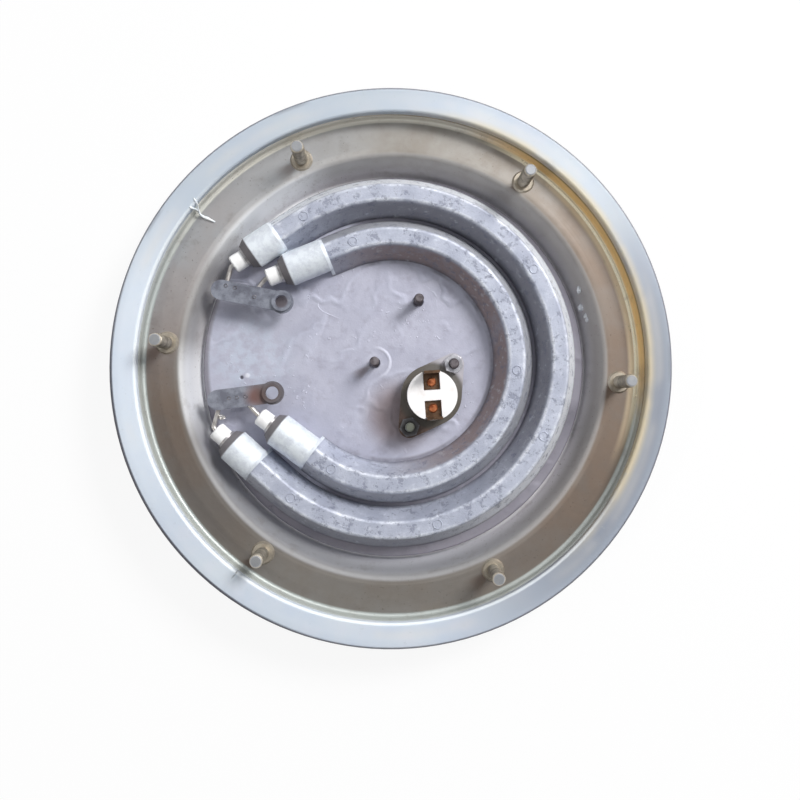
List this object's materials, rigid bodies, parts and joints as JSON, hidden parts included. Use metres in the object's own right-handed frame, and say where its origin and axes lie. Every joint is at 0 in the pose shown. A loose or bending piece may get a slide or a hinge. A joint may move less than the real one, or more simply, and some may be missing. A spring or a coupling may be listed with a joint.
{
  "type": "water boiler heating plate",
  "caption": "Round steel heating plate with a silicone seal ring, clamp studs, two clad heating elements, terminal straps and a disc thermostat.",
  "frame": {"origin": "centre of the wetted face, on the surface that the plate stands on", "axes": "+Z from the wetted face to the wiring side; +X right and +Y up in the straight-down view, with the openings of both elements facing -X"},
  "size_m": [0.17, 0.17, 0.026],
  "materials": {
    "pan_steel": "spun stainless sheet, satin with faint turning lines and heat tint",
    "silicone": "milky translucent silicone, slightly glossy",
    "stud_steel": "threaded weld studs, satin",
    "plate_aluminium": "matt, blotched and scuffed after brazing",
    "post_steel": "dark threaded studs",
    "sheath_aluminium": "extruded, matt, scuffed on the crown",
    "tube_steel": "drawn tube, cut end bright",
    "magnesia": "packed powder",
    "coil_wire": "oxidised resistance wire",
    "white_ceramic": "bright white, smooth",
    "pin_steel": "plain wire",
    "strap_steel": "stamped strip with spot weld marks",
    "strap_tinted": "stamped strip, heat tinted brown at the eyelet",
    "cup_metal": "thin drawn cup, dulled",
    "bracket_steel": "stamped sheet, dull brown grey",
    "nut_steel": "plated hexagon nuts",
    "body_ceramic": "unglazed white ceramic",
    "bimetal": "rolled disc",
    "contact_copper": "spring copper strip",
    "terminal_brass": "darkened brass blade",
    "rivet_copper": "bright copper rivet"
  },
  "bodies": {
    "root": {"steel_pan": "pan_steel", "seal_ring": "silicone", "clamp_studs": "stud_steel", "spreader_plate": "plate_aluminium", "plate_studs": "post_steel", "outer_sheath": "sheath_aluminium", "inner_sheath": "sheath_aluminium", "outer_heater_tube": "tube_steel", "inner_heater_tube": "tube_steel", "outer_magnesia": "magnesia", "inner_magnesia": "magnesia", "outer_coil": "coil_wire", "inner_coil": "coil_wire", "outer_bead_a": "white_ceramic", "outer_bead_b": "white_ceramic", "inner_bead_a": "white_ceramic", "inner_bead_b": "white_ceramic", "outer_pin_a": "pin_steel", "outer_pin_b": "pin_steel", "inner_pin_a": "pin_steel", "inner_pin_b": "pin_steel", "upper_strap": "strap_steel", "lower_strap": "strap_tinted", "thermostat_cup": "cup_metal", "thermostat_bracket": "bracket_steel", "thermostat_nuts": "nut_steel", "thermostat_base": "body_ceramic", "bimetal_disc": "bimetal", "push_rod": "body_ceramic", "contact_blade": "contact_copper", "fixed_contact": "contact_copper", "terminal_a": "terminal_brass", "terminal_b": "terminal_brass", "terminal_rivets": "rivet_copper"}
  },
  "joints": []
}
